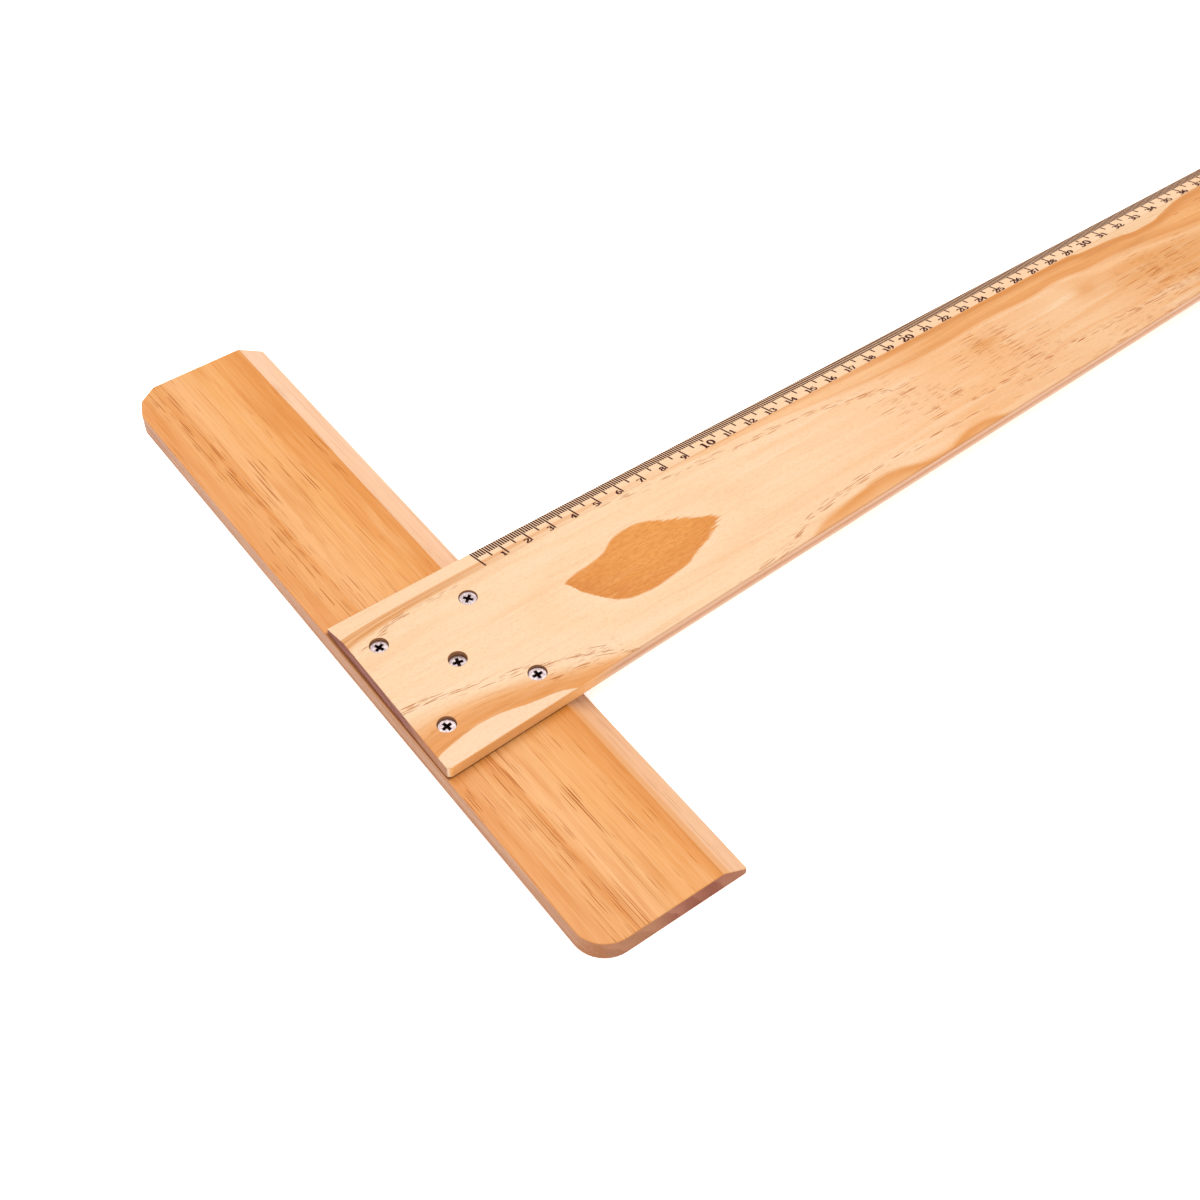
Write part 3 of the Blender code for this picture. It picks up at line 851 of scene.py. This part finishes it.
def bevel_frame():
    """The bevel's own axes: x along the scale, y up the slope to the drawing edge, z off its face."""
    faces = bevel_faces("blade", 1)
    normal = sum((f.normal * f.area for f in faces), Vector()).normalized()
    up_slope = normal.cross(Vector((1, 0, 0))).normalized()
    mesh = NODES["blade"].data
    on_face = mesh.vertices[faces[0].vertices[0]].co
    edge_y = BLADE_HIGH.y
    edge_z = on_face.z + (on_face.y - edge_y) * normal.y / normal.z
    matrix = Matrix((Vector((1, 0, 0)), up_slope, normal)).transposed().to_4x4()
    matrix.translation = (WORKING_EDGE_X + ZERO_FROM_WORKING_EDGE, edge_y, edge_z)
    return matrix


def slab(mesh, outline, place):
    """Add one closed flat piece of ink with the given outline to the mesh."""
    top = [mesh.verts.new(place @ Vector((x, y, INK))) for x, y in outline]
    low = [mesh.verts.new(place @ Vector((x, y, -SINK))) for x, y in outline]
    mesh.faces.new(top)
    mesh.faces.new(low[::-1])
    count = len(outline)
    for k in range(count):
        mesh.faces.new((top[k], low[k], low[(k + 1) % count], top[(k + 1) % count]))


def new_piece(name, mesh, material):
    """Turn a bmesh into a piece that rides on the object's only body."""
    data = bpy.data.meshes.new(name)
    mesh.to_mesh(data)
    mesh.free()
    piece = bpy.data.objects.new(name, data)
    bpy.context.collection.objects.link(piece)
    data.materials.append(material)
    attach(piece, "root")


def tick_end(millimetre):
    """How far down the bevel a division reaches."""
    if millimetre == 0:
        return TICK_END["zero"]
    if millimetre % 100 == 0:
        return TICK_END["ten"]
    if millimetre % 10 == 0:
        return TICK_END["cm"]
    return TICK_END["half"] if millimetre % 5 == 0 else TICK_END["mm"]


def make_ticks(place, material):
    """All the divisions, a millimetre apart."""
    mesh = bmesh.new()
    half = TICK_WIDTH / 2
    for millimetre in range(SCALE_CM * 10 + 1):
        x = millimetre / MM
        end = -tick_end(millimetre)
        corners = [(x - half, -TICK_START), (x - half, end), (x + half, end), (x + half, -TICK_START)]
        slab(mesh, corners, place)
    new_piece("scale_divisions", mesh, material)


def arc(cx, cy, rx, ry, start, end):
    """Points on an elliptical arc, angles in degrees."""
    angles = [math.radians(start + (end - start) * k / ARC_POINTS) for k in range(ARC_POINTS + 1)]
    return [(cx + rx * math.cos(a), cy + ry * math.sin(a)) for a in angles]


def turned_over(strokes):
    """The same strokes turned through half a turn."""
    width, height = DIGIT_BOX
    return [[(width - x, height - y) for x, y in stroke] for stroke in strokes]


# Each numeral is a few pen strokes.
SIX = [arc(0.30, 0.30, 0.19, 0.255, 90, 450), arc(0.50, 0.36, 0.39, 0.59, 185, 98)]
NUMERALS = {
    "0": [arc(0.30, 0.50, 0.20, 0.46, 90, 450)],
    "1": [[(0.31, 0.02), (0.31, 0.98)], [(0.33, 0.96), (0.15, 0.83)], [(0.14, 0.04), (0.48, 0.04)]],
    "2": [arc(0.29, 0.72, 0.18, 0.24, 165, -40) + [(0.09, 0.06)], [(0.07, 0.06), (0.52, 0.06)],
          [(0.50, 0.05), (0.54, 0.24)]],
    "3": [arc(0.27, 0.74, 0.17, 0.22, 150, -85), arc(0.27, 0.28, 0.20, 0.24, 85, -155)],
    "4": [[(0.39, 0.94), (0.06, 0.30), (0.56, 0.30)], [(0.39, 0.98), (0.39, 0.02)],
          [(0.26, 0.04), (0.52, 0.04)]],
    "5": [[(0.50, 0.92), (0.17, 0.92), (0.13, 0.54)], arc(0.28, 0.31, 0.21, 0.27, 125, -155)],
    "6": SIX,
    "7": [[(0.08, 0.78), (0.10, 0.92), (0.52, 0.92), (0.25, 0.02)]],
    "8": [arc(0.30, 0.735, 0.155, 0.21, 90, 450), arc(0.30, 0.27, 0.195, 0.235, 90, 450)],
    "9": turned_over(SIX),
}


def pen_outline(stroke):
    """Both sides of a stroke drawn with a broad pen: uprights thick, level strokes thin."""
    closed = math.dist(stroke[0], stroke[-1]) < SAME_POINT
    points = stroke[:-1] if closed else stroke
    count = len(points)
    left, right = [], []
    for k, point in enumerate(points):
        before = points[k - 1] if closed or k > 0 else point
        after = points[(k + 1) % count] if closed or k < count - 1 else point
        along = Vector((after[0] - before[0], after[1] - before[1])).normalized()
        across = Vector((-along.y, along.x))
        half = math.hypot(NIB_UPRIGHT * across.x, NIB_LEVEL * across.y)
        left.append(Vector(point) + across * half)
        right.append(Vector(point) - across * half)
    return left, right, closed


def numeral_shape(strokes):
    """The strokes of one numeral joined into flat triangles: (points, triangles)."""
    points, quads = [], []
    for stroke in strokes:
        left, right, closed = pen_outline(stroke)
        count = len(left)
        base = len(points)
        points += left + right
        for k in range(count if closed else count - 1):
            after = (k + 1) % count
            quads.append([base + count + k, base + count + after, base + after, base + k])
    joined = delaunay_2d_cdt(points, [], quads, INSIDE_ONLY, MERGE_REACH)
    corners, _, faces, _, _, sources = joined
    return corners, [face for face, source in zip(faces, sources) if source]


def add_numeral(mesh, shape, corner, height, place):
    """Add one numeral as a thin closed slab of ink."""
    points, triangles = shape
    used = sorted({index for triangle in triangles for index in triangle})
    layers = {}
    for level in (INK, -SINK):
        layers[level] = {}
        for index in used:
            flat = points[index] * height
            point = Vector((corner[0] + flat.x * DIGIT_STRETCH, corner[1] + flat.y, level))
            layers[level][index] = mesh.verts.new(place @ point)
    high, low = layers[INK], layers[-SINK]
    edges = []
    for a, b, c in triangles:
        area = (points[b] - points[a]).cross(points[c] - points[a])
        turn = (a, b, c) if area > 0 else (a, c, b)
        mesh.faces.new([high[k] for k in turn])
        mesh.faces.new([low[k] for k in reversed(turn)])
        edges += zip(turn, turn[1:] + turn[:1])
    shared = set(edges)
    for first, second in edges:
        if (second, first) not in shared:
            mesh.faces.new((high[second], high[first], low[first], low[second]))


def make_numbers(place, material):
    """A number at every centimetre: left of its division, or astride it with two digits."""
    shapes = {digit: numeral_shape(strokes) for digit, strokes in NUMERALS.items()}
    mesh = bmesh.new()
    for centimetre in range(1, SCALE_CM + 1):
        text = str(centimetre)
        height = TEN_HEIGHT if centimetre % 10 == 0 else DIGIT_HEIGHT
        advance = height * DIGIT_ADVANCE
        gap = 0.0 if centimetre % 10 == 0 else TWO_DIGIT_GAP
        x = centimetre / CM
        starts = [x - advance - gap, x + gap] if len(text) == 2 else [x - advance - ONE_DIGIT_GAP]
        for digit, start in zip(text, starts):
            add_numeral(mesh, shapes[digit], (start, -DIGIT_BASE), height, place)
    new_piece("scale_numbers", mesh, material)


# ==================================================================== studio
# The floor glows a little, and lies just clear of the head's underside.
FLOOR_GLOW = 0.55
FLOOR_DROP = 0.00005
FLOOR_HALF_WIDTH = 6.0
SOFTBOX_PLACE = (0.25, 0.35, 1.9)
SOFTBOX_TARGET = (0.1, 0.0, 0.0)
SOFTBOX_SIZE = 1.8
SOFTBOX_POWER = 26.0
# The camera as solved from the photo: what it looks at, from where, and through what lens.
CAMERA_TARGET = (0.0519, -0.0431, 0.0140)
CAMERA_HEADING = 36.86
CAMERA_ELEVATION = 48.86
CAMERA_ROLL = 0.21
CAMERA_DISTANCE = 0.5995
CAMERA_LENS = 52.97
CAMERA_SENSOR = 36.0


def make_floor():
    """A plain white floor, lit a little from below like a photographer's table."""
    mesh = bmesh.new()
    bmesh.ops.create_grid(mesh, x_segments=1, y_segments=1, size=FLOOR_HALF_WIDTH)
    data = bpy.data.meshes.new("floor")
    mesh.to_mesh(data)
    mesh.free()
    floor = bpy.data.objects.new("floor", data)
    floor.location.z = -FLOOR_DROP
    bpy.context.collection.objects.link(floor)
    g = Graph("floor_paper", 0.9)
    mottle = g.noise((60, 60, 60), 3, 0.0)
    g.shader.inputs["Emission Color"].default_value = (1.0, 1.0, 1.0, 1.0)
    g.shader.inputs["Emission Strength"].default_value = FLOOR_GLOW
    paper = g.mix(mottle, srgb(249, 249, 248), srgb(252, 252, 252))
    data.materials.append(g.finish(paper, mottle, 0.02))


def make_softbox():
    """A square softbox overhead, aimed at the object."""
    light = bpy.data.lights.new("softbox_top", "AREA")
    light.shape = "SQUARE"
    light.size = SOFTBOX_SIZE
    light.energy = SOFTBOX_POWER
    softbox = bpy.data.objects.new("softbox_top", light)
    softbox.location = SOFTBOX_PLACE
    aim = Vector(SOFTBOX_TARGET) - Vector(SOFTBOX_PLACE)
    softbox.rotation_euler = aim.to_track_quat("-Z", "Y").to_euler()
    bpy.context.collection.objects.link(softbox)


def make_studio():
    """An even white surround, one broad softbox overhead, and the floor."""
    scene = bpy.context.scene
    world = bpy.data.worlds.new("studio")
    world.use_nodes = True
    world.node_tree.nodes["Background"].inputs["Color"].default_value = (1.0, 1.0, 1.0, 1.0)
    world.node_tree.nodes["Background"].inputs["Strength"].default_value = 1.0
    scene.world = world
    scene.view_settings.view_transform = "Standard"
    make_softbox()
    make_floor()


def make_camera():
    """The camera looks down at the blade's root from the head's near outer side."""
    heading = math.radians(CAMERA_HEADING)
    elevation = math.radians(CAMERA_ELEVATION)
    level = math.cos(elevation)
    back = Vector((-math.sin(heading) * level, -math.cos(heading) * level, math.sin(elevation)))
    lens = bpy.data.cameras.new("camera")
    lens.sensor_width = CAMERA_SENSOR
    lens.lens = CAMERA_LENS
    lens.clip_start = 0.01
    camera = bpy.data.objects.new("camera", lens)
    camera.location = Vector(CAMERA_TARGET) + back * CAMERA_DISTANCE
    roll = Matrix.Rotation(math.radians(CAMERA_ROLL), 3, "Z").to_quaternion()
    camera.rotation_euler = ((-back).to_track_quat("-Z", "Y") @ roll).to_euler()
    bpy.context.collection.objects.link(camera)
    bpy.context.scene.camera = camera


def main():
    """Dress the CAD, print the scale, and set up the studio."""
    assign(NODES["head"], head_material())
    assign(NODES["blade"], blade_material())
    for name in SCREW_NAMES:
        assign(NODES[name], screw_material(name))
    ink = ink_material()
    bevel = bevel_frame()
    make_ticks(bevel, ink)
    make_numbers(bevel, ink)
    make_studio()
    make_camera()


main()
